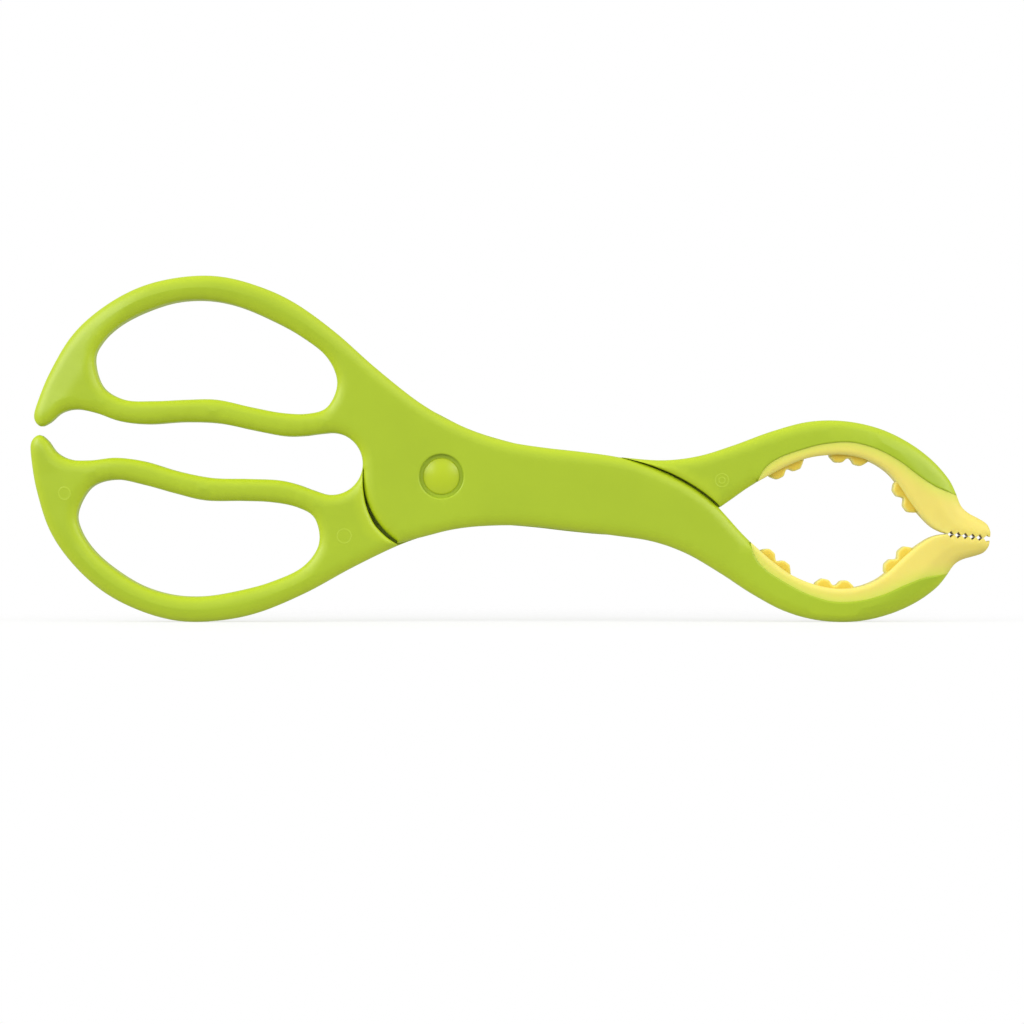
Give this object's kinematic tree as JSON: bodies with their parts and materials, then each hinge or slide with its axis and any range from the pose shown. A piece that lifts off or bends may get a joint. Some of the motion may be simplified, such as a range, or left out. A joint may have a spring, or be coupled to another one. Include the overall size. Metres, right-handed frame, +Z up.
{
  "type": "kitchen lifting tongs",
  "caption": "Scissor lifting tongs with two finger loops, arms half-lapped at a domed snap pivot, and curved jaws lined with soft nubs that end in a saw-toothed beak.",
  "frame": {"origin": "on the ground under the middle of the closed tongs as they stand on edge: the bottom centre of their bounding box", "axes": "+X along the length towards the jaws, +Y through the thickness towards the back face, +Z up, with the finger loops at -X and the pivot stud's head on the -Y face"},
  "size_m": [0.2202, 0.01, 0.0793],
  "materials": {
    "arm_plastic": "glossy moulded lime green",
    "soft_liner": "satin soft moulded pale yellow",
    "pivot_plastic": "glossy moulded bright lime green"
  },
  "bodies": {
    "front_half": {"front_arm": "arm_plastic", "front_arm_liner": "soft_liner", "pivot_stud": "pivot_plastic", "pivot_cap": "pivot_plastic"},
    "back_half": {"back_arm": "arm_plastic", "back_arm_liner": "soft_liner"}
  },
  "joints": [
    {"name": "pivot", "type": "hinge", "parent": "front_half", "child": "back_half", "pos_m": [-0.01574, 0, 0.03336], "axis": [0, -1, 0], "range_deg": [0, 40]}
  ]
}
